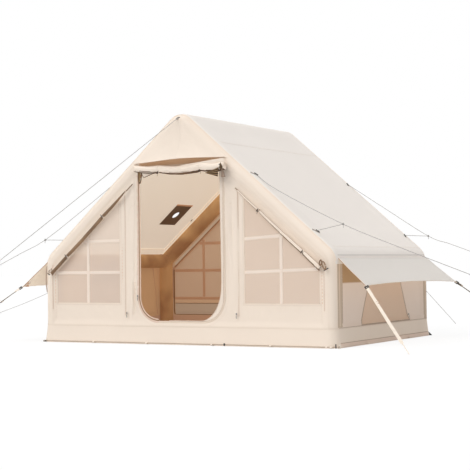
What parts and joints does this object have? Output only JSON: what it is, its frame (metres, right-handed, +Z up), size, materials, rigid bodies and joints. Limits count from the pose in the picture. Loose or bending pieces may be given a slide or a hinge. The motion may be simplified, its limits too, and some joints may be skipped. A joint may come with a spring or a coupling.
{
  "type": "inflatable tent",
  "caption": "House-shaped inflatable tent with air beam frames, a rolled-up front door, mesh windows, side awnings on straps, a stove pipe panel and guy lines.",
  "frame": {"origin": "middle of the floor at ground level, under the middle of the tent", "axes": "+Z up, the open door faces -Y, +X to the right of a person who looks at the door from outside"},
  "size_m": [6.2604, 6.0012, 2],
  "materials": {
    "cream_cloth": "matt coated polyester cloth, warm cream",
    "shaded_cloth": "matt coated polyester cloth, light taupe",
    "roof_cloth": "matt coated polyester cloth, warm grey white",
    "insect_net": "fine woven net, pinkish beige",
    "beam_sleeve": "woven sleeve over an air beam, amber inside the tent and cream outside",
    "bladder_film": "airtight plastic film",
    "floor_cloth": "waterproof floor cloth, light brown",
    "stove_cloth": "fireproof cloth, dark grey",
    "guy_rope": "braided rope, grey",
    "strap_webbing": "flat woven webbing, cream",
    "black_nylon": "moulded nylon, black",
    "zip_metal": "plated zip slider, dark grey"
  },
  "bodies": {
    "tent": {"front_apex_guy": "guy_rope", "front_door_roll": "cream_cloth", "front_frame_bladder": "bladder_film", "front_frame_sleeve": "beam_sleeve", "front_gable_hood": "cream_cloth", "front_gable_wall": "cream_cloth", "front_left_awning_strap": "strap_webbing", "front_left_guy": "guy_rope", "front_left_guy_branch": "guy_rope", "front_left_window": "insect_net", "front_left_window_roll": "cream_cloth", "front_right_awning_strap": "strap_webbing", "front_right_guy": "guy_rope", "front_right_guy_branch": "guy_rope", "front_right_window": "insect_net", "front_right_window_roll": "cream_cloth", "ground_sheet": "floor_cloth", "ground_skirt": "cream_cloth", "left_eave_beam": "beam_sleeve", "left_roof_panel": "roof_cloth", "left_side_net": "insect_net", "left_side_wall": "shaded_cloth", "rear_apex_guy": "guy_rope", "rear_door_panel": "shaded_cloth", "rear_frame_bladder": "bladder_film", "rear_frame_sleeve": "beam_sleeve", "rear_gable_hood": "cream_cloth", "rear_gable_wall": "cream_cloth", "rear_left_awning_strap": "strap_webbing", "rear_left_guy": "guy_rope", "rear_left_guy_branch": "guy_rope", "rear_left_window": "insect_net", "rear_left_window_roll": "cream_cloth", "rear_right_awning_strap": "strap_webbing", "rear_right_guy": "guy_rope", "rear_right_guy_branch": "guy_rope", "rear_right_window": "insect_net", "rear_right_window_roll": "cream_cloth", "ridge_beam": "beam_sleeve", "right_eave_beam": "beam_sleeve", "right_roof_panel": "roof_cloth", "right_side_net": "insect_net", "right_side_wall": "shaded_cloth", "stove_jack_panel": "stove_cloth", "valve_body": "black_nylon"},
    "left_awning": {"left_awning": "roof_cloth", "front_left_ladder_lock": "black_nylon", "rear_left_ladder_lock": "black_nylon"},
    "right_awning": {"right_awning": "roof_cloth", "front_right_ladder_lock": "black_nylon", "rear_right_ladder_lock": "black_nylon"},
    "stove_jack_flap": {"stove_jack_flap": "shaded_cloth"},
    "valve_plunger": {"valve_plunger": "black_nylon"},
    "valve_cap": {"valve_cap": "black_nylon"},
    "front_door_slider": {"front_door_slider": "zip_metal"},
    "rear_door_slider": {"rear_door_slider": "zip_metal"},
    "left_side_slider": {"left_side_slider": "zip_metal"},
    "right_side_slider": {"right_side_slider": "zip_metal"},
    "front_left_window_slider": {"front_left_window_slider": "zip_metal"},
    "front_right_window_slider": {"front_right_window_slider": "zip_metal"}
  },
  "joints": [
    {"name": "left_awning_hinge", "type": "hinge", "parent": "tent", "child": "left_awning", "pos_m": [-1.48108, 0, 0.72752], "axis": [0, -1, 0], "range_deg": [0, 40]},
    {"name": "right_awning_hinge", "type": "hinge", "parent": "tent", "child": "right_awning", "pos_m": [1.48108, 0, 0.72752], "axis": [0, 1, 0], "range_deg": [0, 40]},
    {"name": "stove_jack_flap_fold", "type": "hinge", "parent": "tent", "child": "stove_jack_flap", "pos_m": [-0.88908, 0.475, 1.28524], "axis": [0, -1, 0], "range_deg": [0, 179]},
    {"name": "valve_cap_flip", "type": "hinge", "parent": "tent", "child": "valve_cap", "pos_m": [-1.4499, 0.99911, 0.3358], "axis": [0.866, 0.5, 0], "range_deg": [0, 170]},
    {"name": "valve_plunger_press", "type": "slide", "parent": "tent", "child": "valve_plunger", "axis": [0.5, -0.866, 0], "range_m": [0, 0.004], "stiffness_N_per_m": 600, "springref_m": -0.001},
    {"name": "front_door_slider_run", "type": "slide", "parent": "tent", "child": "front_door_slider", "axis": [0, 0, 1], "range_m": [0, 1]},
    {"name": "rear_door_slider_run", "type": "slide", "parent": "tent", "child": "rear_door_slider", "axis": [0, 0, 1], "range_m": [0, 1]},
    {"name": "front_left_window_slider_run", "type": "slide", "parent": "tent", "child": "front_left_window_slider", "axis": [0, 0, 1], "range_m": [0, 0.98]},
    {"name": "front_right_window_slider_run", "type": "slide", "parent": "tent", "child": "front_right_window_slider", "axis": [0, 0, 1], "range_m": [0, 0.98]},
    {"name": "left_side_slider_run", "type": "slide", "parent": "tent", "child": "left_side_slider", "axis": [0, -0.4654, 0.8851], "range_m": [0, 0.25]},
    {"name": "right_side_slider_run", "type": "slide", "parent": "tent", "child": "right_side_slider", "axis": [0, -0.4654, 0.8851], "range_m": [0, 0.25]}
  ]
}
